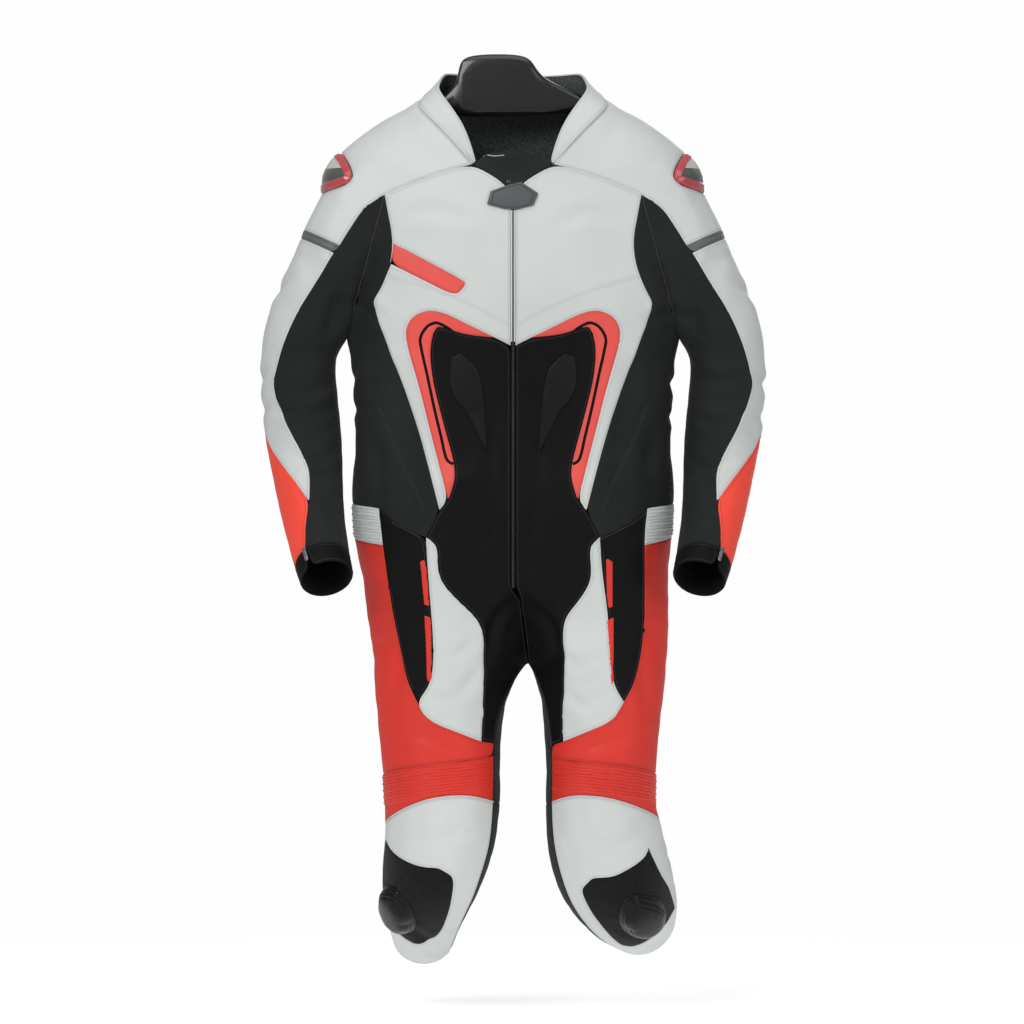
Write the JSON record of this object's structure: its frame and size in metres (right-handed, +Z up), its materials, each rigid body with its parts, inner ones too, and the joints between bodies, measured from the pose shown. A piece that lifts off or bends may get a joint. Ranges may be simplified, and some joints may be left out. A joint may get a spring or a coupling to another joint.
{
  "type": "motorcycle race suit on a hanger",
  "caption": "One-piece motorcycle race suit of panelled leather with armoured shoulders and knees, zipped and filled out, hanging on a wide moulded plastic hanger.",
  "frame": {"origin": "top of the hanger's centre block, where the hanger is held up", "axes": "+Z up; the suit faces -Y; the wearer's right is -X"},
  "size_m": [0.7496, 0.3813, 1.3575],
  "materials": {
    "leather_white": "semi-gloss coated cowhide",
    "leather_red": "semi-gloss coated cowhide",
    "leather_black": "semi-gloss coated cowhide",
    "stretch_black": "matt ribbed aramid stretch cloth",
    "band_grey": "satin coated cowhide",
    "slider_red": "gloss",
    "puck_black": "gloss",
    "hanger_black": "gloss",
    "zip_metal": "satin"
  },
  "bodies": {
    "suit": {"abdomen_pad_l": "leather_black", "abdomen_pad_r": "leather_black", "accordion_l": "leather_red", "accordion_r": "leather_red", "back_lower": "stretch_black", "back_upper": "leather_white", "bracket_l": "leather_red", "bracket_r": "leather_red", "calf_l": "stretch_black", "calf_r": "stretch_black", "chest_bar": "leather_red", "chest_l": "leather_white", "chest_r": "leather_white", "collar": "leather_white", "cuff_l": "leather_black", "cuff_r": "leather_black", "cuff_slider_l": "zip_metal", "cuff_slider_r": "zip_metal", "front_lower_l": "leather_black", "front_lower_r": "leather_black", "hanger": "hanger_black", "hip_ribs_l": "leather_white", "hip_ribs_r": "leather_white", "knee_l": "leather_white", "knee_pad_l": "stretch_black", "knee_pad_r": "stretch_black", "knee_puck_l": "puck_black", "knee_puck_r": "puck_black", "knee_r": "leather_white", "neck_flap": "stretch_black", "seat_leg_l": "stretch_black", "seat_leg_r": "stretch_black", "shoulder_l": "leather_white", "shoulder_r": "leather_white", "shoulder_slider_l": "slider_red", "shoulder_slider_r": "slider_red", "side_stretch_l": "stretch_black", "side_stretch_r": "stretch_black", "sleeve_band_l": "band_grey", "sleeve_band_r": "band_grey", "sleeve_forearm_l": "leather_red", "sleeve_forearm_r": "leather_red", "sleeve_stretch_l": "stretch_black", "sleeve_stretch_r": "stretch_black", "sleeve_upper_l": "leather_white", "sleeve_upper_r": "leather_white", "thigh_panel_l": "leather_black", "thigh_panel_r": "leather_black", "thigh_red_l": "leather_red", "thigh_red_r": "leather_red", "thigh_white_l": "leather_white", "thigh_white_r": "leather_white", "zip_tab": "leather_black", "zip_teeth": "zip_metal"},
    "cuff_pull_r": {"cuff_pull_r": "zip_metal"},
    "cuff_pull_l": {"cuff_pull_l": "zip_metal"}
  },
  "joints": [
    {"name": "cuff_pull_r_lift", "type": "hinge", "parent": "suit", "child": "cuff_pull_r", "pos_m": [-0.30614, -0.14921, -0.73207], "axis": [-0.7701, 0.397, -0.4994], "range_deg": [0, 160]},
    {"name": "cuff_pull_l_lift", "type": "hinge", "parent": "suit", "child": "cuff_pull_l", "pos_m": [0.30614, -0.14921, -0.73207], "axis": [-0.7701, -0.397, 0.4994], "range_deg": [0, 160]}
  ]
}
